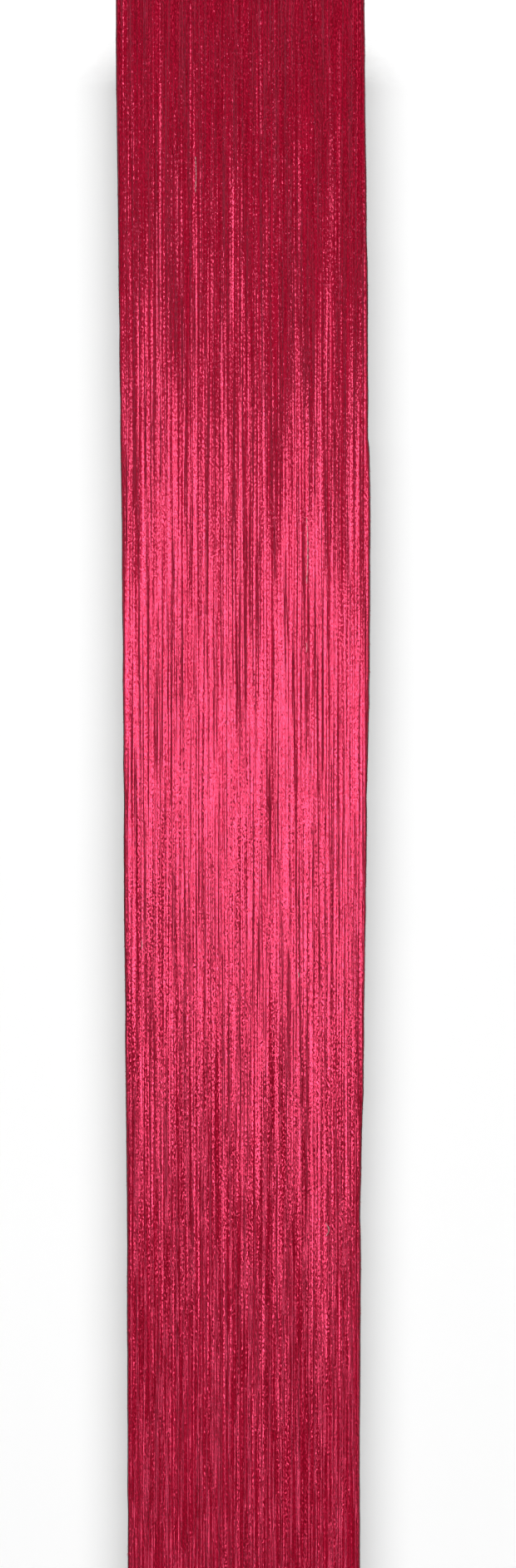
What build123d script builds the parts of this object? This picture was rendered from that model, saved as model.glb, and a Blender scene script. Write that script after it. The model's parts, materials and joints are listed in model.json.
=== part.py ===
"""Climbing skin for a ski: a plush strip with a wire tip bail and an adjustable tail hook.

Millimetres. X runs across the skin, +Z up its length to the tip, -Y is the plush side and +Y
the glue side. The skin hangs by its bail, and the origin is on the inside of the bail's top
wire, where a ski tip or a peg bears.
"""

from build123d import *
import os

# Laminate, from the plush face to the glue face. Its middle is the plane Y = 0.
PILE = 1.75
WEAVE = 0.6
FILM = 0.25
GLUE = 0.4
PLUSH_FACE = -(PILE + WEAVE + FILM + GLUE) / 2
WEAVE_FRONT = PLUSH_FACE + PILE
FILM_FRONT = WEAVE_FRONT + WEAVE
GLUE_FRONT = FILM_FRONT + FILM
GLUE_FACE = GLUE_FRONT + GLUE

# Length of the strip, and the height at which it folds.
TIP_END = -60.0
FOLD = -900.0
TAIL_END = -1540.0
CORNER_R = 9.0

# The trimmed edges, as (x, z): tip, shoulder, shovel, the slow narrowing to the waist, tail.
RIGHT_EDGE = [
    (31, TIP_END),
    (46, -112),
    (59, -215),
    (63, -430),
    (66, -740),
    (63.2, -930),
    (61, -1100),
    (60.5, -1250),
    (56, -1400),
    (27, TAIL_END),
]
LEFT_EDGE = [
    (-31, TIP_END),
    (-48, -112),
    (-62, -215),
    (-67, -430),
    (-63.5, -740),
    (-62.4, -930),
    (-61, -1100),
    (-60.8, -1250),
    (-56, -1400),
    (-27, TAIL_END),
]

# Webbing, cover plates and rivets, the same at both ends.
WEBBING = 1.2
COVER = 1.0
BACKER = 0.8
WASHER = 0.4
RIVET_R = 2.0
RIVET_HEAD_R = 4.2
RIVET_HEAD = 0.9
RIVET_CLINCH_R = 3.2
RIVET_CLINCH = 0.6
WEBBING_FRONT = PLUSH_FACE - WEBBING
WEBBING_BACK = GLUE_FRONT + WEBBING
COVER_FRONT = WEBBING_FRONT - COVER
BACKER_BACK = WEBBING_BACK + BACKER
WASHER_BACK = BACKER_BACK + WASHER

# Tip bail: a closed ring of round wire that turns in the sleeve.
BAIL_WIRE_R = 2.0
BAIL_PIVOT = -50.0
BAIL_FOOT_X = 38.0
BAIL_HEAD_X = 45.0
SLEEVE_W = 54.0
SLEEVE_END = -114.0
RUNNING = 0.05

TIP_PLATE_W = 52.0
TIP_PLATE_H = 38.0
TIP_PLATE_Z = -80.0
TIP_RIVETS = [(x, z) for x in (-18, 18) for z in (-70, -90)]

# Tail tab and buckle.
TAB_W = 28.0
TAB_END = -1483.0
TAIL_PLATE_W = 36.0
TAIL_PLATE_H = 36.0
TAIL_PLATE_Z = -1518.0
TAIL_RIVETS = [(x, z) for x in (-9, 9) for z in (-1509, -1527)]

# The glue coat stops short of the webbing's legs at both ends.
GLUE_TOP = SLEEVE_END - 2.0
GLUE_BOTTOM = TAB_END + 2.0

SWIVEL = -1556.0
SWIVEL_R = 2.5
BUCKLE_IN = 15.0
CHEEK = 3.0
FLOOR_FRONT = -4.7
FLOOR = 1.5
LEVER_Y = -12.5
LEVER_Z = -1578.0
LEVER_PIN_R = 1.6
LEVER_HALF_W = 14.5

# Ladder strap and hook.
STRAP_W = 28.0
STRAP_BACK = -5.0
STRAP = 1.8
STRAP_TOP = -1520.0
RIB = 0.6
RIB_PITCH = 6.0
RIB_COUNT = 17
HOOK_Y = STRAP_BACK - STRAP / 2
HOOK_Z = -1664.0
HOOK_PIN_R = 2.0
BARREL_R = 4.2
HOOK_SHEET = 1.8
HOOK_BEND_R = 5.1
HOOK_BEND_Z = -1684.0
EAR_IN = 14.6
EAR = 2.0
EAR_R = 4.6
PAD = 0.8


def save(builder, name):
    """Label a finished piece and write it as its own STEP file."""
    builder.part.label = name
    export_step(builder.part, "parts/" + name + ".step")


def facing(y):
    """The plane at depth y, drawn as seen from the plush side: local x is X, local y is Z."""
    return Plane.XZ.offset(-y)


def across(x):
    """The plane at x, on which local x is Y and local y is Z."""
    return Plane.YZ.offset(x)


def skin_layer(front, back, keep):
    """One layer of the laminate from depth front to back, on one side of the fold."""
    with BuildPart() as layer:
        with BuildSketch(facing(back)) as outline:
            with BuildLine():
                right = Spline(*RIGHT_EDGE)
                left = Spline(*LEFT_EDGE)
                Line(right @ 0, left @ 0)
                Line(right @ 1, left @ 1)
            make_face()
            fillet(outline.vertices(), CORNER_R)
            with Locations(*TIP_RIVETS, *TAIL_RIVETS):
                Circle(RIVET_R, mode=Mode.SUBTRACT)
        extrude(amount=back - front)
        split(bisect_by=Plane.XY.offset(FOLD), keep=keep)
    return layer


def glue_coat(keep):
    """The glue layer on one side of the fold, cut short of the webbing."""
    with BuildPart() as coat:
        add(skin_layer(GLUE_FRONT, GLUE_FACE, keep).part)
        end = GLUE_TOP if keep == Keep.TOP else GLUE_BOTTOM
        split(bisect_by=Plane.XY.offset(end), keep=Keep.BOTTOM if keep == Keep.TOP else Keep.TOP)
    return coat


def folded_webbing(width, bar_r, bar_z, skin_end, leg_end, rivets):
    """Webbing folded round a bar at bar_z, with a leg on each face of the skin."""
    turn = bar_r + RUNNING + WEBBING / 2
    legs = ((-1, PLUSH_FACE - WEBBING / 2), (1, GLUE_FRONT + WEBBING / 2))
    start_angle = 180 if leg_end > bar_z else 0
    with BuildPart() as webbing:
        with BuildSketch(across(-width / 2)):
            with BuildLine():
                for side, leg_y in legs:
                    FilletPolyline(
                        (leg_y, leg_end),
                        (leg_y, skin_end),
                        (side * turn, (skin_end + bar_z) / 2),
                        (side * turn, bar_z),
                        radius=3.0,
                    )
                CenterArc((0, bar_z), turn, start_angle, 180)
            trace(line_width=WEBBING)
        extrude(amount=width)
        with BuildSketch(facing(WEBBING_BACK)):
            with Locations(*rivets):
                Circle(RIVET_R)
        extrude(amount=WEBBING_BACK - WEBBING_FRONT, mode=Mode.SUBTRACT)
    return webbing


def cover_plate(width, height, centre, rivets):
    """Pressed front plate with eased edges and a shallow blank panel between its rivets."""
    with BuildPart() as plate:
        with BuildSketch(facing(WEBBING_FRONT)):
            with Locations((0, centre)):
                RectangleRounded(width, height, 6)
            with Locations(*rivets):
                Circle(RIVET_R, mode=Mode.SUBTRACT)
        extrude(amount=COVER)
        front = plate.faces().sort_by(Axis.Y)[0]
        chamfer(front.outer_wire().edges(), 0.3)
        with BuildSketch(facing(COVER_FRONT)):
            with Locations((0, centre)):
                RectangleRounded(width - 14, 7, 2.5)
        extrude(amount=-0.35, mode=Mode.SUBTRACT)
    return plate


def backing_plate(width, height, centre, rivets):
    """Plain rear plate that spreads the rivets' load."""
    with BuildPart() as plate:
        with BuildSketch(facing(BACKER_BACK)):
            with Locations((0, centre)):
                RectangleRounded(width, height, 6)
            with Locations(*rivets):
                Circle(RIVET_R, mode=Mode.SUBTRACT)
        extrude(amount=BACKER)
        chamfer(plate.faces().sort_by(Axis.Y)[-1].outer_wire().edges(), 0.25)
    return plate


def rivets(places):
    """Tubular rivets: a domed head on the plush side, a shank, a rolled clinch at the back."""
    with BuildPart() as group:
        with BuildSketch(facing(WASHER_BACK)):
            with Locations(*places):
                Circle(RIVET_R)
        extrude(amount=WASHER_BACK - COVER_FRONT)
        with BuildSketch(facing(COVER_FRONT)):
            with Locations(*places):
                Circle(RIVET_HEAD_R)
        extrude(amount=RIVET_HEAD)
        fillet(group.edges().group_by(Axis.Y)[0], 0.7)
        with BuildSketch(facing(WASHER_BACK)):
            with Locations(*places):
                Circle(RIVET_CLINCH_R)
        extrude(amount=-RIVET_CLINCH)
        fillet(group.edges().group_by(Axis.Y)[-1], 0.4)
        with BuildSketch(facing(WASHER_BACK + RIVET_CLINCH)):
            with Locations(*places):
                Circle(1.1)
        extrude(amount=3.0, mode=Mode.SUBTRACT)
    return group


def washers(places):
    """Flat washers under the rivets' clinched ends."""
    with BuildPart() as group:
        with BuildSketch(facing(WASHER_BACK)):
            with Locations(*places):
                Circle(RIVET_HEAD_R)
                Circle(RIVET_R, mode=Mode.SUBTRACT)
        extrude(amount=WASHER)
    return group


def stitching(half_width, rows):
    """Rows of thread, one short stitch after another, on both faces of the webbing."""
    pitch = 4.0
    count = int(2 * half_width / pitch) + 1
    places = [((i - (count - 1) / 2) * pitch, z) for z in rows for i in range(count)]
    with BuildPart() as thread:
        for start, height in ((WEBBING_FRONT, 0.5), (WEBBING_BACK, -0.5)):
            with BuildSketch(facing(start)):
                with Locations(*places):
                    SlotOverall(2.9, 0.8)
            extrude(amount=height)
    return thread


def make_skin():
    """Plush pile, woven ground, waterproof film and glue, each in a front and a rear piece."""
    layers = {
        "plush": (PLUSH_FACE, WEAVE_FRONT),
        "backing": (WEAVE_FRONT, FILM_FRONT),
        "membrane": (FILM_FRONT, GLUE_FRONT),
    }
    for name, (front, back) in layers.items():
        save(skin_layer(front, back, Keep.TOP), name + "_front")
        save(skin_layer(front, back, Keep.BOTTOM), name + "_rear")
    save(glue_coat(Keep.TOP), "glue_front")
    save(glue_coat(Keep.BOTTOM), "glue_rear")


def make_tip():
    """The bail and the riveted sleeve that it turns in."""
    with BuildPart() as bail:
        with BuildLine(Plane.XZ) as ring:
            FilletPolyline(
                (-BAIL_FOOT_X, BAIL_PIVOT),
                (BAIL_FOOT_X, BAIL_PIVOT),
                (BAIL_HEAD_X, BAIL_WIRE_R),
                (-BAIL_HEAD_X, BAIL_WIRE_R),
                radius=[8, 8, 20, 20],
                close=True,
            )
        with BuildSketch(Plane(origin=ring.line @ 0, z_dir=ring.line % 0)):
            Circle(BAIL_WIRE_R)
        sweep()
    save(bail, "tip_bail")
    sleeve = folded_webbing(SLEEVE_W, BAIL_WIRE_R, BAIL_PIVOT, TIP_END, SLEEVE_END, TIP_RIVETS)
    save(sleeve, "tip_sleeve")
    save(cover_plate(TIP_PLATE_W, TIP_PLATE_H, TIP_PLATE_Z, TIP_RIVETS), "tip_cover_plate")
    save(backing_plate(TIP_PLATE_W, TIP_PLATE_H, TIP_PLATE_Z, TIP_RIVETS), "tip_backing_plate")
    save(rivets(TIP_RIVETS), "tip_rivets")
    save(washers(TIP_RIVETS), "tip_washers")
    save(stitching(22, (SLEEVE_END + 4, SLEEVE_END + 9)), "tip_stitching")


def make_tail_tab():
    """The riveted webbing tab that carries the buckle."""
    tab = folded_webbing(TAB_W, SWIVEL_R, SWIVEL, TAIL_END, TAB_END, TAIL_RIVETS)
    save(tab, "tail_tab")
    save(cover_plate(TAIL_PLATE_W, TAIL_PLATE_H, TAIL_PLATE_Z, TAIL_RIVETS), "tail_cover_plate")
    save(backing_plate(TAIL_PLATE_W, TAIL_PLATE_H, TAIL_PLATE_Z, TAIL_RIVETS), "tail_backing_plate")
    save(rivets(TAIL_RIVETS), "tail_rivets")
    save(washers(TAIL_RIVETS), "tail_washers")
    save(stitching(10, (TAB_END - 4, TAB_END - 9)), "tail_stitching")


def make_buckle():
    """A frame of two cheeks, a floor and a swivel bar, with a cam lever on its own pin."""
    with BuildPart() as frame:
        with BuildSketch(across(-BUCKLE_IN - CHEEK), across(BUCKLE_IN)) as cheek:
            with BuildLine():
                Polyline(
                    (4.0, SWIVEL + 5),
                    (-5.0, SWIVEL + 5),
                    (LEVER_Y - 4.5, LEVER_Z + 7),
                    (LEVER_Y - 4.5, LEVER_Z - 6),
                    (-9.0, LEVER_Z - 20),
                    (-2.5, LEVER_Z - 20),
                    (4.0, SWIVEL - 6),
                    close=True,
                )
            make_face()
            fillet(cheek.vertices(), 2.5)
            with Locations((LEVER_Y, LEVER_Z)):
                Circle(LEVER_PIN_R, mode=Mode.SUBTRACT)
        extrude(amount=CHEEK)
        with BuildSketch(across(-BUCKLE_IN)):
            with Locations((0, SWIVEL)):
                Circle(SWIVEL_R)
            with Locations((FLOOR_FRONT + FLOOR / 2, LEVER_Z - 3)):
                Rectangle(FLOOR, 30)
        extrude(amount=2 * BUCKLE_IN)
    save(frame, "buckle_frame")

    with BuildPart() as pin:
        with BuildSketch(across(-BUCKLE_IN - CHEEK)):
            with Locations((LEVER_Y, LEVER_Z)):
                Circle(LEVER_PIN_R)
        extrude(amount=2 * (BUCKLE_IN + CHEEK))
        with BuildSketch(across(-BUCKLE_IN - CHEEK - 1), across(BUCKLE_IN + CHEEK)):
            with Locations((LEVER_Y, LEVER_Z)):
                Circle(3.0)
        extrude(amount=1.0)
    save(pin, "lever_pin")

    with BuildPart() as lever:
        with BuildSketch(across(-LEVER_HALF_W)) as profile:
            with BuildLine():
                Polyline(
                    (LEVER_Y + 1.4, LEVER_Z),
                    (LEVER_Y + 1.4, LEVER_Z - 31),
                    (LEVER_Y - 1.6, LEVER_Z - 38),
                    (LEVER_Y - 4.4, LEVER_Z - 37),
                    (LEVER_Y - 1.4, LEVER_Z - 29),
                    (LEVER_Y - 1.4, LEVER_Z),
                    close=True,
                )
            make_face()
            fillet(profile.vertices(), 1.0)
            with Locations((LEVER_Y, LEVER_Z)):
                Circle(4.6)
            with Locations((LEVER_Y + 1.9, LEVER_Z - 0.8)):
                Circle(3.0)
            with Locations((LEVER_Y, LEVER_Z)):
                Circle(LEVER_PIN_R + RUNNING, mode=Mode.SUBTRACT)
        extrude(amount=2 * LEVER_HALF_W)
    save(lever, "cam_lever")

    with BuildPart() as grip:
        with BuildSketch(facing(LEVER_Y - 1.4)):
            with Locations((0, LEVER_Z - 18)):
                RectangleRounded(22, 18, 4)
        extrude(amount=0.7)
        with BuildSketch(facing(LEVER_Y - 2.1)):
            with GridLocations(0, 3.6, 1, 4):
                with Locations((0, LEVER_Z - 18)):
                    SlotOverall(18, 1.4)
        extrude(amount=0.5)
    save(grip, "lever_grip")


def make_strap():
    """The ladder strap, moulded round the hook's pin, with a riveted pull tab."""
    with BuildPart() as strap:
        with BuildSketch(facing(STRAP_BACK)) as blade:
            with Locations((0, (STRAP_TOP + HOOK_Z) / 2)):
                Rectangle(STRAP_W, STRAP_TOP - HOOK_Z)
            fillet(blade.vertices().group_by(Axis.Y)[-1], 6)
            with Locations((0, STRAP_TOP - 17)):
                Circle(1.5, mode=Mode.SUBTRACT)
        extrude(amount=STRAP)
        with BuildSketch(facing(STRAP_BACK - STRAP)):
            for i in range(RIB_COUNT):
                with Locations((0, STRAP_TOP - 32 - i * RIB_PITCH)):
                    Rectangle(STRAP_W - 6, 2.0)
        extrude(amount=RIB)
        with BuildSketch(across(-STRAP_W / 2)):
            with Locations((HOOK_Y, HOOK_Z)):
                Circle(BARREL_R)
        extrude(amount=STRAP_W)
        with BuildSketch(across(-STRAP_W / 2)):
            with Locations((HOOK_Y, HOOK_Z)):
                Circle(HOOK_PIN_R + RUNNING)
        extrude(amount=STRAP_W, mode=Mode.SUBTRACT)
    save(strap, "tail_strap")

    with BuildPart() as tab:
        with BuildSketch(facing(STRAP_BACK - STRAP)):
            with Locations((0, STRAP_TOP - 13)):
                RectangleRounded(STRAP_W, 24, 6)
            with Locations((0, STRAP_TOP - 17)):
                Circle(1.5, mode=Mode.SUBTRACT)
        extrude(amount=2.2)
        chamfer(tab.faces().sort_by(Axis.Y)[0].outer_wire().edges(), 0.6)
        with BuildSketch(facing(STRAP_BACK - STRAP - 2.2)):
            for i in range(3):
                with Locations((0, STRAP_TOP - 4.5 - i * 3.2)):
                    SlotOverall(16, 1.4)
        extrude(amount=-0.6, mode=Mode.SUBTRACT)
    save(tab, "pull_tab")

    with BuildPart() as rivet:
        with BuildSketch(facing(STRAP_BACK)):
            with Locations((0, STRAP_TOP - 17)):
                Circle(1.5)
        extrude(amount=STRAP + 2.2)
        with BuildSketch(facing(STRAP_BACK - STRAP - 2.2)):
            with Locations((0, STRAP_TOP - 17)):
                Circle(3.2)
        extrude(amount=0.7)
        fillet(rivet.edges().group_by(Axis.Y)[0], 0.5)
    save(rivet, "pull_tab_rivet")


def hook_bend(width, sheet, radius):
    """A strip bent to a J below the hook's pin, opening upwards on the glue side."""
    bend_y = HOOK_Y + HOOK_BEND_R
    with BuildPart() as bend:
        with BuildSketch(across(-width / 2)):
            with BuildLine():
                Line((bend_y - radius, HOOK_Z - 7), (bend_y - radius, HOOK_BEND_Z))
                CenterArc((bend_y, HOOK_BEND_Z), radius, 180, 180)
                Line((bend_y + radius, HOOK_BEND_Z), (bend_y + radius, HOOK_BEND_Z + 8))
            trace(line_width=sheet)
        extrude(amount=width)
    return bend


def make_hook():
    """The bent tail hook with its two ears, the pin between them and a rubber lining."""
    width = 2 * (EAR_IN + EAR)
    bent = hook_bend(width, HOOK_SHEET, HOOK_BEND_R)
    with BuildPart() as hook:
        add(bent.part)
        with BuildSketch(across(-EAR_IN - EAR), across(EAR_IN)):
            with Locations((HOOK_Y, HOOK_Z)):
                Circle(EAR_R)
            with Locations((HOOK_Y, HOOK_Z - 8)):
                Rectangle(HOOK_SHEET, 16)
            make_hull()
            with Locations((HOOK_Y, HOOK_Z)):
                Circle(HOOK_PIN_R, mode=Mode.SUBTRACT)
        extrude(amount=EAR)
    save(hook, "tail_hook")

    with BuildPart() as pin:
        with BuildSketch(across(-EAR_IN - EAR)):
            with Locations((HOOK_Y, HOOK_Z)):
                Circle(HOOK_PIN_R)
        extrude(amount=width)
        with BuildSketch(across(-EAR_IN - EAR - 1.2), across(EAR_IN + EAR)):
            with Locations((HOOK_Y, HOOK_Z)):
                Circle(3.2)
        extrude(amount=1.2)
    save(pin, "hook_pin")

    lining = hook_bend(width - 4, PAD, HOOK_BEND_R - HOOK_SHEET / 2 - PAD / 2)
    save(lining, "hook_pad")


os.makedirs("parts", exist_ok=True)
make_skin()
make_tip()
make_tail_tab()
make_buckle()
make_strap()
make_hook()
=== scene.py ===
"""Looks of the climbing skin: plush, laminate, webbing, thread, metal and rubber, on a white wall.

Metres, in the CAD model's frame: X across the skin, Z up its length, -Y out of the plush. The skin
hangs from a peg, and the camera looks at the stretch between its shovel and its waist.
"""

import json
import math

import bpy
import numpy as np
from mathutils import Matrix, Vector


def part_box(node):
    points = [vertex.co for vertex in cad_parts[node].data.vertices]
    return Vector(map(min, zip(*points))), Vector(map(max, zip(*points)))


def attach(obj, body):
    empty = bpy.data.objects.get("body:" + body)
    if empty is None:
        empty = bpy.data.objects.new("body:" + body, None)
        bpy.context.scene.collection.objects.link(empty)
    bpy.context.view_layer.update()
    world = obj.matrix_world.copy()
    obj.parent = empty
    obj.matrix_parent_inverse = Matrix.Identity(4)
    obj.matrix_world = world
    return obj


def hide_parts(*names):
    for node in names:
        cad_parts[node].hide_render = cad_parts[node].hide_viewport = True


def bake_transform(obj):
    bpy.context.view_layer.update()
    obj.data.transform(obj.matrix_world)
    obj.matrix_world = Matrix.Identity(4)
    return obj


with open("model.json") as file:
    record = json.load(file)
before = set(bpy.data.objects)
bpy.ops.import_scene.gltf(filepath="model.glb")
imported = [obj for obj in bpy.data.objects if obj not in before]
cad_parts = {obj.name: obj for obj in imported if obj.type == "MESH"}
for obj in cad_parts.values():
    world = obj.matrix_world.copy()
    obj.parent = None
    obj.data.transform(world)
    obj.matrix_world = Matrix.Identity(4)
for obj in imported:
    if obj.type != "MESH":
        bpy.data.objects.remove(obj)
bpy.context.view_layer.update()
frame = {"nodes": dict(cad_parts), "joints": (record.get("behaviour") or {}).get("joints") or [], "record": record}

MM = 0.001
SEED = 20

# Places read from the CAD model.
PLUSH_LO, PLUSH_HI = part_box("plush_front")
REAR_LO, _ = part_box("plush_rear")
GLUE_LO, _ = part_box("glue_front")
PLUSH_FACE, PLUSH_BACK = PLUSH_LO.y, PLUSH_HI.y
TIP_END, FOLD, TAIL_END = PLUSH_HI.z, PLUSH_LO.z, REAR_LO.z

# The stretch in view, and how finely the laminate is divided.
VIEW_TOP = -0.430
VIEW_HEIGHT = 0.8246
VIEW_CENTRE_X = 0.0074
FOLD_REACH = 20 * MM
PLUSH_COLUMNS = 262

# How much each size of clump in the pile adds to the lean of its fibres, and to their colour. In the second table
# the gaps between rows are made darker, which is painted shade; the rows and grain give the dye's random tone.
LEANS = (("rows", 0.46), ("long_rows", 0.27), ("breaks", 0.12), ("grain", 0.46), ("groups", 0.03))
TONES_AND_GAP_SHADE = (("gaps", 2.6), ("rows", 0.8), ("grain", 2.0))


# ---------------------------------------------------------------- stage


def look_at(obj, target):
    """Turn a light or camera so that it looks at a point."""
    direction = Vector(target) - obj.location
    obj.rotation_euler = direction.to_track_quat("-Z", "Y").to_euler()


def make_camera():
    """A long lens square on to the strip, a little to the right of its middle."""
    distance = 2.0
    data = bpy.data.cameras.new("camera")
    data.sensor_width = 36.0
    data.lens = data.sensor_width * distance / VIEW_HEIGHT
    camera = bpy.data.objects.new("camera", data)
    bpy.context.scene.collection.objects.link(camera)
    middle = VIEW_TOP - VIEW_HEIGHT / 2
    camera.location = (VIEW_CENTRE_X, PLUSH_FACE - distance, middle)
    look_at(camera, (VIEW_CENTRE_X, 0, middle))
    bpy.context.scene.camera = camera


def area_light(name, place, target, size, power):
    """A soft box that lights the scene but isn't seen itself: metres for place and size, watts."""
    data = bpy.data.lights.new(name, "AREA")
    data.shape = "RECTANGLE"
    data.size, data.size_y = size
    data.energy = power
    light = bpy.data.objects.new(name, data)
    bpy.context.scene.collection.objects.link(light)
    light.location = place
    look_at(light, target)
    light.visible_camera = False


def make_lights():
    """A long bar before the skin gives the pile its band of sheen; soft boxes light the rest."""
    height = -0.82
    area_light("light_bar", (0, -1.95, height), (0, 0, height), (3.8, 0.25), 47.0)
    area_light("upper_bar", (0, -1.2, 0.35), (0, 0, -0.45), (2.4, 0.3), 5.0)
    area_light("overhead", (0, 0, 2.0), (0, 0.001, -1), (3.0, 3.0), 31.0)
    area_light("back_left", (-1.3, 2.0, 0.3), (0, 0, -0.8), (1.4, 1.8), 24.0)
    area_light("back_right", (1.3, 2.0, -1.0), (0, 0, -0.9), (1.4, 1.4), 16.0)
    world = bpy.data.worlds.new("studio")
    world.use_nodes = True
    background = world.node_tree.nodes["Background"]
    background.inputs["Color"].default_value = (1, 1, 1, 1)
    background.inputs["Strength"].default_value = 1.0
    bpy.context.scene.world = world
    world.cycles_visibility.diffuse = False
    world.cycles_visibility.glossy = False


def panel(name, corners, mat):
    """A flat four-cornered stage panel."""
    mesh = bpy.data.meshes.new(name)
    mesh.from_pydata(corners, [], [(0, 1, 2, 3)])
    mesh.materials.append(mat)
    obj = bpy.data.objects.new(name, mesh)
    bpy.context.scene.collection.objects.link(obj)
    return obj


def make_stage():
    """A white wall, a pale floor, and a white board close behind the skin that takes its shadow."""
    reach, floor_z = 3.0, -2.45
    board_reach, board_top, board_end = 0.25, -0.437, -1.45
    board_paper = board_material(board_reach, board_top, board_end)
    standing = (
        ("wall", 0.45, reach, 2.5, floor_z, wall_material()),
        ("board", 27 * MM, board_reach, board_top, board_end, board_paper),
    )
    for name, y, half, top, low, mat in standing:
        corners = [(-half, y, low), (half, y, low), (half, y, top), (-half, y, top)]
        panel(name, corners, mat).visible_shadow = False
    around = ((-reach, -reach), (reach, -reach), (reach, reach), (-reach, reach))
    corners = [(x, y, floor_z) for x, y in around]
    panel("floor", corners, floor_material()).visible_diffuse = False


# ---------------------------------------------------------------- material tools


class Shader:
    """A node material with one Principled surface."""

    def __init__(self, name, **surface):
        self.mat = bpy.data.materials.new(name)
        self.mat.use_nodes = True
        self.tree = self.mat.node_tree
        self.surface = self.tree.nodes["Principled BSDF"]
        for key, value in surface.items():
            self.set(key.replace("_", " "), value)

    def set(self, key, value):
        """Set or link one input of the surface."""
        self.put(self.surface.inputs[key], value)

    def put(self, socket, value):
        """Link a node's output to a socket, or give the socket a plain value."""
        if isinstance(value, bpy.types.NodeSocket):
            self.tree.links.new(value, socket)
        elif isinstance(value, tuple) and len(value) == 3 and socket.type == "RGBA":
            socket.default_value = (*value, 1.0)
        else:
            socket.default_value = value

    def add(self, kind, inputs, **settings):
        """Make a node, with its settings and inputs."""
        node = self.tree.nodes.new("ShaderNode" + kind)
        for key, value in settings.items():
            setattr(node, key, value)
        for key, value in inputs.items():
            self.put(node.inputs[key], value)
        return node

    def uv(self):
        """Place on the cloth, in metres across and along it, which follows the cloth as it bends."""
        return self.add("UVMap", {}, uv_map="cloth").outputs["UV"]

    def place(self):
        """Place in the object's own frame, in metres."""
        return self.add("TexCoord", {}).outputs["Object"]

    def noise(self, where, cells, detail=2.0, roughness=0.5):
        """Noise whose grain is about cells = (x, y, z) metres."""
        scale = tuple(1.0 / c for c in cells)
        # The turn, in radians, keeps the noise's own grid from lining up with the rows of pile.
        turned = {"Vector": where, "Rotation": (0.0, 0.0, 0.6), "Scale": scale}
        spot = self.add("Mapping", turned).outputs["Vector"]
        inputs = {"Vector": spot, "Scale": 1.0, "Detail": detail, "Roughness": roughness}
        return self.add("TexNoise", inputs).outputs["Fac"]

    def math(self, operation, *values, clamp=False):
        """A Math node on two or three numbers."""
        node = self.add("Math", {}, operation=operation, use_clamp=clamp)
        for i, value in enumerate(values):
            self.put(node.inputs[i], value)
        return node.outputs[0]

    def vary(self, base, noise, share, clamp=False):
        """Base, moved by share times the noise's distance from its middle."""
        swing = self.math("SUBTRACT", noise, 0.5)
        return self.math("MULTIPLY_ADD", swing, share, base, clamp=clamp)

    def spread(self, value, low, high, start=0.0, end=1.0):
        """Map value from low..high to start..end, clamped."""
        inputs = {"Value": value, "From Min": low, "From Max": high, "To Min": start, "To Max": end}
        return self.add("MapRange", inputs).outputs["Result"]

    def ramp(self, value, stops):
        """A colour ramp; stops are (position, (r, g, b))."""
        node = self.add("ValToRGB", {"Fac": value})
        elements = node.color_ramp.elements
        while len(elements) < len(stops):
            elements.new(0.5)
        for element, (position, colour) in zip(elements, stops):
            element.position = position
            element.color = (*colour, 1.0)
        return node.outputs["Color"]

    def bump(self, height, distance, strength=1.0):
        """A bump normal from a height of 0 to 1, in metres at full height."""
        inputs = {"Height": height, "Distance": distance, "Strength": strength}
        self.set("Normal", self.add("Bump", inputs).outputs["Normal"])


def see_through(s, share):
    """Make the surface clear by share, and clear from behind, so the skin's back can be seen."""
    behind = s.add("NewGeometry", {}).outputs["Backfacing"]
    both = s.add("MixShader", {"Fac": s.math("MAXIMUM", behind, share)})
    s.put(both.inputs[1], s.surface.outputs["BSDF"])
    s.put(both.inputs[2], s.add("BsdfTransparent", {}).outputs["BSDF"])
    s.put(s.tree.nodes["Material Output"].inputs["Surface"], both.outputs["Shader"])


def paper(name):
    """White paper that can glow a little from within."""
    s = Shader(name, Roughness=0.9, Specular_IOR_Level=0.0)
    grain = s.noise(s.place(), (3 * MM, 3 * MM, 3 * MM), 3.0)
    s.set("Base Color", s.ramp(grain, [(0.3, (0.92, 0.92, 0.92)), (0.7, (0.935, 0.935, 0.935))]))
    s.set("Emission Color", (1.0, 1.0, 1.0))
    return s


def wall_material():
    """Paper for the far wall."""
    s = paper("wall_paper")
    s.set("Emission Strength", 0.58)
    see_through(s, 0.0)
    return s.mat


def board_material(half, top, low):
    """The same paper, thinning to nothing at the board's edges and glowing more low down."""
    middle, top_fade, low_fade, side_fade = -0.9, 34 * MM, 50 * MM, 60 * MM
    s = paper("board_paper")
    spot = s.add("SeparateXYZ", {"Vector": s.place()})
    across, height = spot.outputs["X"], spot.outputs["Z"]
    ends = s.math(
        "MAXIMUM",
        s.spread(height, top - top_fade, top, 0.0, 1.0),
        s.spread(height, low, low + low_fade, 1.0, 0.0),
    )
    sides = s.spread(s.math("ABSOLUTE", across), half - side_fade, half, 0.0, 1.0)
    s.set("Emission Strength", s.spread(height, low, middle, 0.24, 0.15))
    see_through(s, s.math("MAXIMUM", ends, sides))
    return s.mat


def floor_material():
    """Pale matt floor, lit a little from within so that its far edge doesn't show."""
    s = Shader("floor_paper", Roughness=0.85, Specular_IOR_Level=0.2)
    grain = s.noise(s.place(), (6 * MM, 6 * MM, 6 * MM), 3.0)
    s.set("Base Color", s.ramp(grain, [(0.3, (0.62, 0.62, 0.61)), (0.7, (0.65, 0.65, 0.64))]))
    s.set("Emission Color", (1.0, 1.0, 1.0))
    s.set("Emission Strength", 0.7)
    return s.mat


# ---------------------------------------------------------------- laminate


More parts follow.
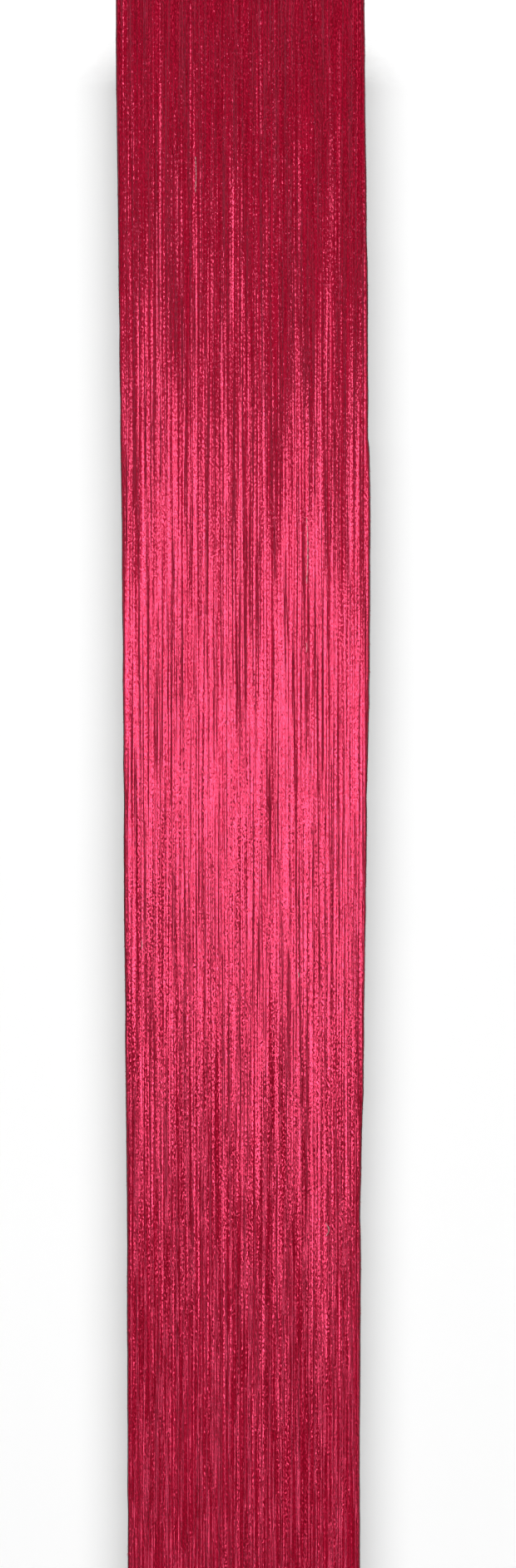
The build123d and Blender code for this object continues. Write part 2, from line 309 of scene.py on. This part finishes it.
def lattice(x, z, cell_x, cell_z, seed):
    """Smooth random field from -1 to 1 with cells of that size, repeating after a table's width."""
    size = 512
    table = np.random.default_rng(seed).uniform(-1, 1, (size, size))
    # The shifts keep the cells' joins off the skin's middle line and its hanging point.
    u, v = np.asarray(x) / cell_x + 200.37, np.asarray(z) / cell_z + 200.61
    i, j = np.floor(u).astype(int), np.floor(v).astype(int)
    a, b = u - i, v - j
    a, b = a * a * (3 - 2 * a), b * b * (3 - 2 * b)
    i, j = i % (size - 1), j % (size - 1)
    low = table[i, j] * (1 - a) + table[i + 1, j] * a
    high = table[i, j + 1] * (1 - a) + table[i + 1, j + 1] * a
    return low * (1 - b) + high * b


def trimmed_edges(z):
    """The skin's left and right edge at each height, read off the CAD outline."""
    # The rivet holes reach 20 mm from the middle, and the edges lie farther out.
    inner = 20.5 * MM
    points = []
    for name in ("plush_front", "plush_rear"):
        mesh = frame["nodes"][name].data
        points += [tuple(v.co) for v in mesh.vertices if v.co.y < PLUSH_FACE + 0.1 * MM]
    points = np.array(points)
    edges = []
    for side in (-1, 1):
        rim = points[points[:, 0] * side > inner]
        rim = rim[np.argsort(rim[:, 2])]
        edges.append(np.interp(z, rim[:, 2], rim[:, 0]))
    return edges


# Slips of the trimming knife on the right edge: share of the way down the view, and size in mm.
SLIPS = ((0.28, -0.8), (0.45, 0.3), (0.51, -0.5), (0.70, 0.5), (0.78, -0.5))


def knife_slips(z):
    """Steps where the knife drifted slowly off its line, and was brought back at once."""
    slow, quick = 50 * MM, 4 * MM
    offset = np.zeros_like(z)
    for share, size in SLIPS:
        above = z - (VIEW_TOP - share * VIEW_HEIGHT)
        drift = np.exp(-np.maximum(above, 0) / slow) * np.exp(np.minimum(above, 0) / quick)
        offset += size * MM * drift
    return offset


def hand_cut(z, overhang):
    """Edges as a knife leaves them, overhang metres outside the pile's own edge."""
    left, right = trimmed_edges(z)
    left = left + lattice(0, z, 1, 21 * MM, SEED) * 0.22 * MM
    left = left + lattice(0, z, 1, 5 * MM, SEED + 1) * 0.1 * MM
    right = right + knife_slips(z)
    right = right + lattice(0, z, 1, 17 * MM, SEED + 2) * 0.22 * MM
    right = right + lattice(0, z, 1, 5 * MM, SEED + 3) * 0.1 * MM
    return left - overhang, right + overhang


def heights(top, bottom):
    """Heights from top to bottom: even steps, with finer ones at the ends and at the fold."""
    step, reach, clear, fold_rows = 5 * MM, FOLD_REACH + 2 * MM, 0.6 * MM, 29
    fine = [0.25, 0.7, 1.4, 2.4, 3.6, 5.0, 6.8]
    rows = list(np.arange(bottom, top, step)) + [top]
    rows += [top - f * MM for f in fine] + [bottom + f * MM for f in fine]
    rows = [z for z in rows if abs(z - FOLD) > reach + clear]
    rows += list(np.linspace(FOLD - reach, FOLD + reach, fold_rows))
    rows = sorted(set(round(float(z), 6) for z in rows), reverse=True)
    return np.array(rows)


def cloth_object(name, vertices, faces, spots):
    """A smooth mesh whose cloth UV holds each vertex's spot on the cloth, in metres."""
    mesh = bpy.data.meshes.new(name)
    mesh.from_pydata(vertices, [], faces)
    layer = mesh.uv_layers.new(name="cloth")
    loop_vertex = np.zeros(len(mesh.loops), int)
    mesh.loops.foreach_get("vertex_index", loop_vertex)
    layer.data.foreach_set("uv", np.asarray(spots)[loop_vertex].astype(np.float32).ravel())
    mesh.polygons.foreach_set("use_smooth", [True] * len(mesh.polygons))
    obj = bpy.data.objects.new(name, mesh)
    bpy.context.scene.collection.objects.link(obj)
    return obj


def closed_strip(name, x, y_front, y_back, z):
    """A closed strip. x and y_front are grids by row and column, y_back is flat, z is by row."""
    rows, columns = x.shape
    front = np.stack([x, y_front, np.repeat(z[:, None], columns, 1)], 2).reshape(-1, 3)
    left = np.stack([x[:, 0], np.full(rows, y_back), z], 1)
    right = np.stack([x[:, -1], np.full(rows, y_back), z], 1)
    vertices = np.concatenate([front, left, right])
    first_left, first_right = rows * columns, rows * columns + rows
    faces = []
    for r in range(rows - 1):
        a, b = r * columns, (r + 1) * columns
        faces += [(a + c, b + c, b + c + 1, a + c + 1) for c in range(columns - 1)]
        faces.append((first_left + r, first_left + r + 1, b, a))
        faces.append((a + columns - 1, b + columns - 1, first_right + r + 1, first_right + r))
        faces.append((first_right + r, first_right + r + 1, first_left + r + 1, first_left + r))
    faces.append((first_left, *range(columns), first_right))
    last = (rows - 1) * columns
    last_row = reversed(range(last, last + columns))
    faces.append((first_right + rows - 1, *last_row, first_left + rows - 1))
    obj = cloth_object(name, vertices.tolist(), faces, vertices[:, [0, 2]])
    obj.data.validate()
    return obj


def bend_at_fold(obj):
    """Bake a piece of the laminate's transform into its own mesh."""
    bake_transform(obj)


def make_plush():
    """The pile: rows of slanting fibres, ridged along the skin, rounded off at the cut edges."""
    z = heights(TIP_END, TAIL_END)
    left, right = hand_cut(z, 0.0)
    across = np.linspace(0, 1, PLUSH_COLUMNS)
    x = left[:, None] * (1 - across) + right[:, None] * across
    zz = np.repeat(z[:, None], PLUSH_COLUMNS, 1)
    ridges = lattice(x, zz, 1.15 * MM, 200 * MM, SEED + 4) * 0.08
    ridges = ridges + lattice(x, zz, 2.4 * MM, 400 * MM, SEED + 5) * 0.06
    tufts = lattice(x, zz, 0.9 * MM, 14 * MM, SEED + 6) * 0.012
    rim_width, rim_drop, sink = 1.3 * MM, 0.75, 0.05
    rim = np.minimum(x - left[:, None], right[:, None] - x) / rim_width
    drop = rim_drop * np.clip(1 - rim, 0, 1) ** 2
    y = PLUSH_FACE + (ridges + tufts + drop + sink) * MM
    obj = closed_strip("plush_pile", x, y, PLUSH_BACK, z)
    obj.data.materials.append(plush_material())
    bend_at_fold(obj)
    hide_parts("plush_front", "plush_rear")
    return obj


def make_layer(name, nodes, mat, overhang, ripple):
    """A thin layer of the laminate behind the pile, made back to front: its rear face ripples."""
    lo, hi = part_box(nodes[0])
    rear_lo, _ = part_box(nodes[1])
    z = heights(hi.z, rear_lo.z)
    left, right = hand_cut(z, overhang)
    columns = 40
    across = np.linspace(0, 1, columns)
    x = left[:, None] * (1 - across) + right[:, None] * across
    zz = np.repeat(z[:, None], columns, 1)
    wave = lattice(x, zz, 6 * MM, 18 * MM, SEED + 7) * ripple
    obj = closed_strip(name, x, hi.y + wave, lo.y, z)
    obj.data.flip_normals()
    obj.data.materials.append(mat)
    bend_at_fold(obj)
    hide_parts(*nodes)
    return obj


def plush_material():
    """Dyed nylon pile: every row leans a little differently, so each catches the light elsewhere."""
    s = Shader(
        "plush_nylon",
        Anisotropic=0.85,
        IOR=1.88,
        Specular_IOR_Level=1.0,
        Specular_Tint=(1.0, 0.098, 0.22),
        Sheen_Weight=0.03,
        Sheen_Roughness=0.4,
        Sheen_Tint=(1.0, 0.02, 0.10),
    )
    uv = s.uv()
    noises = {
        "rows": s.noise(uv, (0.95 * MM, 150 * MM, 1), 2.0, 0.55),
        "long_rows": s.noise(uv, (1.15 * MM, 600 * MM, 1), 1.0, 0.6),
        "breaks": s.noise(uv, (0.7 * MM, 34 * MM, 1), 1.0, 0.6),
        "grain": s.noise(uv, (0.6 * MM, 1.5 * MM, 1), 1.0, 0.6),
        "groups": s.noise(uv, (6 * MM, 420 * MM, 1), 1.0, 0.5),
        "gaps": s.noise(uv, (0.85 * MM, 130 * MM, 1), 3.0, 0.65),
    }
    across = s.add("SeparateXYZ", {"Vector": uv}).outputs["X"]
    # Fibres in a gap lean far over, and a lean that grows across the skin slants the band of light.
    gap_lean = s.spread(noises["gaps"], 0.47, 0.37, 0.0, 0.60)
    lean = s.math("MULTIPLY_ADD", across, 0.16, gap_lean)
    for name, share in LEANS:
        lean = s.vary(lean, noises[name], share)
    sway = s.vary(0.0, noises["grain"], 0.3)
    tilt = s.add(
        "CombineXYZ",
        {
            "X": s.math("MULTIPLY_ADD", sway, 0.5, 0.5),
            "Y": s.math("MULTIPLY_ADD", lean, 0.5, 0.5),
            "Z": 1.0,
        },
    )
    normal = s.add("NormalMap", {"Color": tilt.outputs["Vector"]}, uv_map="cloth")
    s.set("Normal", normal.outputs["Normal"])
    tangent = s.add("Tangent", {}, direction_type="UV_MAP", uv_map="cloth")
    s.set("Tangent", tangent.outputs["Tangent"])
    # Painted shade: low gap noise darkens the base colour in the gaps between rows; rows and grain add the dye's
    # random tone.
    tone = 0.5
    for name, share in TONES_AND_GAP_SHADE:
        tone = s.vary(tone, noises[name], share)
    colour = s.ramp(
        tone,
        [
            (0.0, (0.09, 0.0, 0.001)),
            (0.45, (0.25, 0.0, 0.009)),
            (0.75, (0.39, 0.0004, 0.020)),
            (1.0, (0.57, 0.009, 0.046)),
        ],
    )
    s.set("Base Color", colour)
    s.set("Roughness", s.spread(noises["gaps"], 0.36, 0.56, 0.34, 0.29))
    return s.mat


def weave_material():
    """Dark maroon ground cloth."""
    s = Shader("woven_ground", Roughness=0.85, Sheen_Weight=0.1)
    uv = s.uv()
    yarn = s.noise(uv, (0.4 * MM, 0.9 * MM, 1), 3.0, 0.6)
    s.set("Base Color", s.ramp(yarn, [(0.3, (0.020, 0.001, 0.004)), (0.7, (0.075, 0.006, 0.018))]))
    s.bump(yarn, 0.1 * MM)
    return s.mat


def film_material():
    """Thin dark film."""
    s = Shader("membrane_film")
    uv = s.uv()
    cloud = s.noise(uv, (3 * MM, 8 * MM, 1), 3.0)
    s.set("Base Color", s.ramp(cloud, [(0.3, (0.016, 0.016, 0.018)), (0.7, (0.03, 0.03, 0.033))]))
    s.set("Roughness", s.spread(cloud, 0.3, 0.7, 0.32, 0.5))
    return s.mat


def glue_material():
    """Hot-melt glue: dark and tacky, a little cloudy, with the roller's fine stipple."""
    s = Shader("hotmelt_glue", Coat_Weight=0.25, Coat_Roughness=0.35)
    uv = s.uv()
    cloud = s.noise(uv, (14 * MM, 60 * MM, 1), 4.0, 0.6)
    stipple = s.noise(uv, (1.1 * MM, 1.1 * MM, 1), 2.0, 0.5)
    s.set("Base Color", s.ramp(cloud, [(0.25, (0.030, 0.026, 0.024)), (0.75, (0.058, 0.050, 0.045))]))
    s.set("Roughness", s.spread(cloud, 0.3, 0.7, 0.36, 0.58))
    s.bump(stipple, 0.25 * MM, 0.7)
    return s.mat


# ---------------------------------------------------------------- loose fibres

# Pale fibres caught in the pile: share of the half width from the middle, share of the way down the
# view, length in mm, and how far it curls in mm.
PALE_FIBRES = (
    (-0.4, 0.10, 19, 0.3),
    (0.5, 0.33, 35, 0.6),
    (0.5, 0.41, 5, 0.2),
    (0.45, 0.62, 3, 0.5),
    (0.7, 0.78, 7, 1.8),
    (-0.85, 0.60, 4, 0.4),
)


def needles(name, roots, middles, tips, radius, mat):
    """Three-sided tapering fibres, each bent through a middle point, in one mesh."""
    count, each = len(roots), 9
    along = tips - roots
    along /= np.linalg.norm(along, axis=1)[:, None]
    side = np.cross(along, np.array([0.0, 1.0, 0.0]))
    side /= np.linalg.norm(side, axis=1)[:, None]
    out = np.cross(side, along)
    rings = []
    for centre, share in ((roots, 0.7), (middles, 1.0), (tips, 0.3)):
        for turn in range(3):
            angle = math.radians(90 + 120 * turn)
            offset = side * math.cos(angle) + out * math.sin(angle)
            rings.append(centre + offset * (radius * share)[:, None])
    vertices = np.stack(rings, 1).reshape(-1, 3)
    pattern = []
    for ring in (0, 3):
        for turn in range(3):
            after = (turn + 1) % 3
            pattern.append((ring + turn, ring + after, ring + 3 + after, ring + 3 + turn))
    starts = np.arange(count)[:, None, None] * each
    caps = np.array([(2, 1, 0), (6, 7, 8)])
    quads = (starts + np.array(pattern)[None]).reshape(-1, 4)
    ends = (starts + caps[None]).reshape(-1, 3)
    spots = np.repeat(roots[:, [0, 2]], each, 0)
    obj = cloth_object(name, vertices.tolist(), quads.tolist() + ends.tolist(), spots)
    obj.data.materials.append(mat)
    bend_at_fold(obj)
    return obj


def make_strands(count=8000):
    """Longer fibres lying on the pile, their tips combed towards the tail."""
    rng = np.random.default_rng(SEED + 30)
    z = rng.uniform(TAIL_END + 16 * MM, TIP_END - 2 * MM, count)
    left, right = trimmed_edges(z)
    margin = 1.2 * MM
    x = left + margin + rng.random(count) * (right - left - 2 * margin)
    length = rng.uniform(5, 13, count) * MM
    drift = rng.normal(0, 0.25, count) * MM
    root_y = PLUSH_FACE + rng.uniform(0.25, 0.4, count) * MM
    middle_y = PLUSH_FACE + rng.uniform(0.0, 0.12, count) * MM
    tip_y = PLUSH_FACE + rng.uniform(-0.18, 0.1, count) * MM
    roots = np.stack([x, root_y, z], 1)
    middles = np.stack([x + drift * 0.3, middle_y, z - length * 0.5], 1)
    tips = np.stack([x + drift, tip_y, z - length], 1)
    radius = rng.uniform(0.06, 0.11, count) * MM
    return needles("pile_strands", roots, middles, tips, radius, fibre_material())


def make_fuzz(count=2600):
    """Short cut fibre ends standing out of both edges."""
    rng = np.random.default_rng(SEED + 31)
    z = rng.uniform(TAIL_END + 12 * MM, TIP_END - 12 * MM, count)
    left, right = hand_cut(z, 0.0)
    side = np.where(rng.random(count) < 0.5, -1.0, 1.0)
    edge = np.where(side < 0, left, right)
    reach = rng.gamma(2.0, 0.16, count).clip(0.1, 1.1) * MM
    fall = rng.uniform(0.3, 2.4, count) * MM
    depth = PLUSH_FACE + rng.uniform(0.35, 1.8, count) * MM
    middle_y = depth + rng.normal(0, 0.12, count) * MM
    tip_y = depth + rng.normal(0, 0.25, count) * MM
    roots = np.stack([edge - side * 0.4 * MM, depth, z], 1)
    middles = np.stack([edge + side * reach * 0.6, middle_y, z - fall * 0.4], 1)
    tips = np.stack([edge + side * reach, tip_y, z - fall], 1)
    radius = rng.uniform(0.05, 0.09, count) * MM
    return needles("edge_fuzz", roots, middles, tips, radius, fibre_material())


def make_pale_fibres():
    """A few pale fibres that have caught in the pile."""
    pieces = 9
    steps = np.linspace(0, 1, 2 * pieces + 1)
    arch = np.sin(steps * math.pi)
    roots, middles, tips = [], [], []
    for across, down, length, curl in PALE_FIBRES:
        top = VIEW_TOP - down * VIEW_HEIGHT
        half_width = float(trimmed_edges(top)[1])
        x = across * half_width + curl * arch * MM
        y = PLUSH_FACE - (0.16 + 0.08 * arch) * MM
        points = np.stack([x, y, top - length * steps * MM], 1)
        roots += list(points[0:-2:2])
        middles += list(points[1:-1:2])
        tips += list(points[2::2])
    radius = np.full(len(roots), 0.22 * MM)
    roots, middles, tips = np.array(roots), np.array(middles), np.array(tips)
    return needles("pale_fibres", roots, middles, tips, radius, pale_material())


def fibre_material():
    """Dyed nylon fibres, each its own shade."""
    s = Shader(
        "pile_fibre", IOR=1.7, Specular_IOR_Level=0.9, Specular_Tint=(1.0, 0.14, 0.27), Anisotropic=0.5
    )
    shade = s.noise(s.uv(), (0.3 * MM, 0.3 * MM, 1), 0.0)
    s.set("Base Color", s.ramp(shade, [(0.3, (0.20, 0.0, 0.009)), (0.7, (0.50, 0.006, 0.040))]))
    s.set("Roughness", s.spread(shade, 0.3, 0.7, 0.28, 0.4))
    return s.mat


def pale_material():
    """Pale stray fibre."""
    s = Shader("stray_fibre", Roughness=0.5)
    shade = s.noise(s.place(), (1 * MM, 1 * MM, 2 * MM), 1.0)
    s.set("Base Color", s.ramp(shade, [(0.3, (0.75, 0.36, 0.38)), (0.7, (0.86, 0.62, 0.60))]))
    return s.mat


# ---------------------------------------------------------------- webbing and thread

WEBBING_THICKNESS = 1.2 * MM
# Room between the webbing and the bar that turns in it.
BAR_PLAY = 0.05 * MM


def folded_path(bar_r, bar_z, skin_end, leg_end):
    """Middle line (y, z) of webbing that runs up one face, round a bar and down the other face."""
    leg_points, ease_points, arc_points = 110, 26, 30
    half = WEBBING_THICKNESS / 2
    turn = bar_r + BAR_PLAY + half
    straight = np.linspace(leg_end, skin_end, leg_points)
    ease = np.linspace(skin_end, bar_z, ease_points)[1:]
    share = (ease - skin_end) / (bar_z - skin_end)
    share = share * share * (3 - 2 * share)
    up = 1 if bar_z > leg_end else -1
    arc = np.linspace(0, math.pi, arc_points)[1:-1]
    legs = []
    for leg_y, bar_y in ((PLUSH_FACE - half, -turn), (GLUE_LO.y + half, turn)):
        leg = [(leg_y, z) for z in straight]
        legs.append(leg + [(leg_y + (bar_y - leg_y) * k, z) for k, z in zip(share, ease)])
    over = [(-turn * math.cos(a), bar_z + up * turn * math.sin(a)) for a in arc]
    return np.array(legs[0] + over + legs[1][::-1])


def make_webbing(name, node, body, width, path, mat):
    """Flat webbing along a path: lengthwise ribs, slanting picks, rounded selvedges."""
    rib_pitch, pick_pitch, pick_slant = 1.8 * MM, 2.4 * MM, 3.6 * MM
    selvedge_width, column_width = 1.6 * MM, 0.45 * MM
    rib_mm, pick_mm = 0.10, 0.05
    half = WEBBING_THICKNESS / 2
    steps = np.gradient(path, axis=0)
    steps /= np.linalg.norm(steps, axis=1)[:, None]
    normals = np.stack([-steps[:, 1], steps[:, 0]], 1)
    length = np.concatenate([[0], np.cumsum(np.linalg.norm(np.diff(path, axis=0), axis=1))])
    columns = int(width / column_width) + 1
    x = np.linspace(-width / 2, width / 2, columns)
    selvedge = np.clip((width / 2 - np.abs(x)) / selvedge_width, 0, 1)
    fullness = 0.35 + 0.65 * np.sqrt(1 - (1 - selvedge) ** 2)
    rib = 0.5 + 0.5 * np.cos(2 * math.pi * x / rib_pitch)
    rows = len(path)
    sides = []
    for direction in (1, -1):
        phase = length[:, None] / pick_pitch + direction * x[None] / pick_slant
        pick = 0.5 + 0.5 * np.cos(2 * math.pi * phase)
        depth = half * fullness[None] - (rib_mm * (1 - rib)[None] + pick_mm * pick) * MM
        y = path[:, :1] + normals[:, :1] * depth * direction
        z = path[:, 1:] + normals[:, 1:] * depth * direction
        sides.append(np.stack([np.repeat(x[None], rows, 0), y, z], 2))
    vertices = np.concatenate([side.reshape(-1, 3) for side in sides])
    other, gaps, e = rows * columns, range(columns - 1), columns - 1
    faces = []
    for r in range(rows - 1):
        a, b = r * columns, (r + 1) * columns
        oa, ob = other + a, other + b
        faces += [(a + c, a + c + 1, b + c + 1, b + c) for c in gaps]
        faces += [(ob + c, ob + c + 1, oa + c + 1, oa + c) for c in gaps]
        faces.append((a, b, ob, oa))
        faces.append((b + e, a + e, oa + e, ob + e))
    last = (rows - 1) * columns
    o_last = other + last
    faces += [(c + 1, c, other + c, other + c + 1) for c in gaps]
    faces += [(last + c, last + c + 1, o_last + c + 1, o_last + c) for c in gaps]
    flat_x = np.tile(np.repeat(x[None], rows, 0).ravel(), 2)
    flat_length = np.tile(np.repeat(length, columns), 2)
    spots = np.stack([flat_x, flat_length], 1)
    obj = cloth_object(name, vertices.tolist(), faces, spots)
    obj.data.materials.append(mat)
    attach(obj, body)
    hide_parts(node)


def webbing_about_bar(name, node, body, joint, skin_end, mat):
    """Webbing in the place of a CAD node, folded round the bar that turns in it."""
    lo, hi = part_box(node)
    bar_z = next(j["pos_m"][2] for j in frame["joints"] if j["name"] == joint)
    above = bar_z > skin_end
    outside = hi.z - bar_z if above else bar_z - lo.z
    bar_r = outside - WEBBING_THICKNESS - BAR_PLAY
    path = folded_path(bar_r, bar_z, skin_end, lo.z if above else hi.z)
    make_webbing(name, node, body, hi.x - lo.x, path, mat)


def stitch(centre, y, z, outward, slant):
    """One stitch of twisted thread along X: its vertices, its faces and its spots on the thread."""
    reach, radius, rings, turns = 1.55 * MM, 0.42 * MM, 9, 8
    arch_mm, dip_mm, flatness, ply = 0.16, 0.60, 0.85, 0.10
    vertices, spots = [], []
    for r in range(rings):
        t = -1 + 2 * r / (rings - 1)
        taper = math.sqrt(max(0.02, 1 - t**6))
        rise = (arch_mm - dip_mm * t**4) * MM
        for k in range(turns):
            angle = 2 * math.pi * k / turns
            size = radius * taper * (1 + ply * math.cos(2 * angle - 7 * t))
            out = y + outward * (rise + size * math.sin(angle) * flatness)
            vertices.append((centre + reach * t, out, z + slant * t + size * math.cos(angle)))
            spots.append((centre + reach * t, k * 0.3 * MM))
    faces = []
    for r in range(rings - 1):
        a, b = r * turns, (r + 1) * turns
        for k in range(turns):
            after = (k + 1) % turns
            faces.append((a + k, a + after, b + after, b + k))
    low = tuple(range(turns))
    high = tuple((rings - 1) * turns + k for k in low)
    faces += [low[::-1], high]
    if outward < 0:
        faces = [face[::-1] for face in faces]
    return vertices, faces, spots


def make_stitches(name, node, body, mat):
    """Lock stitches on both faces, in the CAD node's two rows, their ends drawn into the webbing."""
    # The CAD stitches' pitch, half length and radius, which say how many there are and where.
    pitch, cad_reach, cad_radius = 4.0 * MM, 1.45 * MM, 0.4 * MM
    lo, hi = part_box(node)
    rows = (lo.z + cad_radius, hi.z - cad_radius)
    sides = ((-1, PLUSH_FACE - WEBBING_THICKNESS), (1, GLUE_LO.y + WEBBING_THICKNESS))
    count = round(2 * (hi.x - cad_reach) / pitch) + 1
    rng = np.random.default_rng(SEED + 40)
    vertices, faces, spots = [], [], []
    for outward, y in sides:
        for z in rows:
            for i in range(count):
                centre = (i - (count - 1) / 2) * pitch
                slant = rng.uniform(-0.12, 0.12) * MM
                first = len(vertices)
                points, around, places = stitch(centre, y, z, outward, slant)
                vertices += points
                spots += places
                faces += [tuple(first + v for v in face) for face in around]
    obj = cloth_object(name, vertices, faces, spots)
    obj.data.materials.append(mat)
    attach(obj, body)
    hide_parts(node)


def webbing_material():
    """Black nylon webbing with its picks in a herringbone."""
    sheen = {"Sheen_Weight": 0.25, "Sheen_Roughness": 0.5, "Sheen_Tint": (0.6, 0.6, 0.62)}
    s = Shader("webbing_black", Roughness=0.62, **sheen)
    uv = s.uv()
    spot = s.add("SeparateXYZ", {"Vector": uv})
    x, along = spot.outputs["X"], spot.outputs["Y"]
    rib, pick = 1.8 * MM, 1.2 * MM
    zigzag = s.math("PINGPONG", x, rib)
    phase = s.math("MULTIPLY", s.math("ADD", along, zigzag), 2 * math.pi / pick)
    picks = s.math("MULTIPLY_ADD", s.math("SINE", phase), 0.5, 0.5)
    fibre = s.noise(uv, (0.18 * MM, 0.7 * MM, 1), 2.0)
    wear = s.noise(uv, (9 * MM, 14 * MM, 1), 3.0)
    tone = s.math("MULTIPLY_ADD", picks, 0.45, s.math("MULTIPLY", fibre, 0.4))
    tone = s.vary(tone, wear, 0.4)
    s.set("Base Color", s.ramp(tone, [(0.15, (0.008, 0.008, 0.009)), (0.8, (0.045, 0.045, 0.048))]))
    s.bump(s.math("MULTIPLY_ADD", fibre, 0.3, picks), 0.12 * MM)
    return s.mat


def thread_material():
    """Bonded thread, its ply showing as a fine twist."""
    s = Shader("bonded_thread", Roughness=0.5, Sheen_Weight=0.2)
    spot = s.add("SeparateXYZ", {"Vector": s.uv()})
    twist = 0.7 * MM
    slanting = s.math("ADD", spot.outputs["X"], spot.outputs["Y"])
    phase = s.math("MULTIPLY", slanting, 2 * math.pi / twist)
    ply = s.math("MULTIPLY_ADD", s.math("SINE", phase), 0.5, 0.5)
    s.set("Base Color", s.ramp(ply, [(0.1, (0.16, 0.004, 0.012)), (0.8, (0.42, 0.020, 0.045))]))
    s.bump(ply, 0.08 * MM)
    return s.mat


# ---------------------------------------------------------------- metal, rubber and plastic


def metal_material(name, colour, grain, rough, scratch):
    """Brushed metal with smudges and light scratches."""
    s = Shader(name, Metallic=1.0)
    where = s.place()
    brush = s.noise(where, tuple(g * MM for g in grain), 4.0, 0.7)
    smudge = s.noise(where, (7 * MM, 7 * MM, 11 * MM), 3.0)
    nick = s.noise(where, (0.5 * MM, 2 * MM, 9 * MM), 2.0)
    dark, light = (tuple(c * k for c in colour) for k in (0.90, 1.06))
    tone = s.vary(brush, smudge, 0.25)
    s.set("Base Color", s.ramp(tone, [(0.3, dark), (0.7, light)]))
    s.set("Roughness", s.vary(s.vary(rough, smudge, 0.20), brush, 0.16, clamp=True))
    mark = s.spread(nick, 0.62, 0.70)
    s.bump(s.math("MULTIPLY_ADD", mark, -0.8, brush), scratch * MM)
    return s.mat


def anodised_material(name, colour, rough):
    """Bead-blasted, dyed and anodised alloy, rubbed paler in patches."""
    s = Shader(name, Metallic=0.75)
    where = s.place()
    blast = s.noise(where, (0.25 * MM, 0.25 * MM, 0.25 * MM), 2.0)
    rub = s.noise(where, (6 * MM, 4 * MM, 10 * MM), 5.0, 0.7)
    faded = tuple(c * 1.15 for c in colour)
    worn = tuple(min(1.0, c * 2.2 + 0.05) for c in colour)
    s.set("Base Color", s.ramp(rub, [(0.30, colour), (0.60, faded), (0.78, worn)]))
    s.set("Roughness", s.vary(rough, rub, -0.3, clamp=True))
    s.bump(blast, 0.02 * MM)
    return s.mat


def rubber_material(name, colour, rough, pebble):
    """Moulded rubber or plastic: fine mould texture, darker in its low places, with paler scuffs."""
    s = Shader(name, Specular_IOR_Level=0.4)
    where = s.place()
    skin = s.noise(where, (pebble * MM, pebble * MM, pebble * MM), 3.0, 0.6)
    scuff = s.noise(where, (5 * MM, 3 * MM, 12 * MM), 4.0, 0.65)
    tone = s.vary(scuff, skin, 0.35)
    dark, light = (tuple(c * k for c in colour) for k in (0.75, 1.45))
    s.set("Base Color", s.ramp(tone, [(0.3, dark), (0.55, colour), (0.8, light)]))
    s.set("Roughness", s.vary(rough, scuff, 0.35, clamp=True))
    s.bump(skin, 0.06 * MM)
    return s.mat


def finish_node(obj, mat):
    """Give a CAD node that shows its material."""
    if not obj.material_slots:
        obj.data.materials.append(mat)
    for place in obj.material_slots:
        place.material = mat


# Fittings whose CAD shape stays, by material slot.
# Metals: colour, grain of the brushing in mm, roughness, scratch depth in mm.
METALS = {
    "stainless_wire": ((0.60, 0.60, 0.61), (3, 0.35, 3), 0.26, 0.006),
    "stainless_sheet": ((0.56, 0.565, 0.57), (0.14, 0.14, 16), 0.38, 0.006),
    "rivet_steel": ((0.50, 0.50, 0.51), (0.8, 0.8, 0.8), 0.32, 0.003),
}
# Anodised alloys: colour, roughness.
ALLOYS = {
    "buckle_alloy": ((0.050, 0.052, 0.058), 0.42),
    "lever_alloy": ((0.42, 0.43, 0.45), 0.38),
}
# Rubbers and plastics: colour, roughness, mould texture in mm.
RUBBERS = {
    "strap_elastomer": ((0.030, 0.030, 0.033), 0.55, 0.5),
    "moulded_grip": ((0.26, 0.006, 0.022), 0.6, 0.8),
    "hook_rubber": ((0.028, 0.028, 0.030), 0.75, 0.4),
}


def finish_hardware():
    """Materials for every fitting whose CAD shape stays."""
    by_slot = {slot: metal_material(slot, *values) for slot, values in METALS.items()}
    by_slot.update({slot: anodised_material(slot, *values) for slot, values in ALLOYS.items()})
    by_slot.update({slot: rubber_material(slot, *values) for slot, values in RUBBERS.items()})
    for row in frame["record"]["subparts"]:
        obj = frame["nodes"][row["node"]]
        if not obj.hide_render:
            finish_node(obj, by_slot[row["material_slot"]])


# ---------------------------------------------------------------- making

bpy.context.scene.view_settings.view_transform = "Standard"
make_camera()
make_lights()
make_stage()

plush = make_plush()
backing = make_layer(
    "woven_backing", ("backing_front", "backing_rear"), weave_material(), 0.5 * MM, 0.0
)
film = make_layer(
    "waterproof_film", ("membrane_front", "membrane_rear"), film_material(), 0.15 * MM, 0.0
)
glue = make_layer("glue_coat", ("glue_front", "glue_rear"), glue_material(), 0.0, 0.06 * MM)
strands = make_strands()
fuzz = make_fuzz()
pale = make_pale_fibres()

webbing, thread = webbing_material(), thread_material()
webbing_about_bar("sleeve_webbing", "tip_sleeve", "front_half", "bail_swing", TIP_END, webbing)
webbing_about_bar("tab_webbing", "tail_tab", "rear_half", "buckle_swing", TAIL_END, webbing)
make_stitches("sleeve_thread", "tip_stitching", "front_half", thread)
make_stitches("tab_thread", "tail_stitching", "rear_half", thread)

finish_hardware()
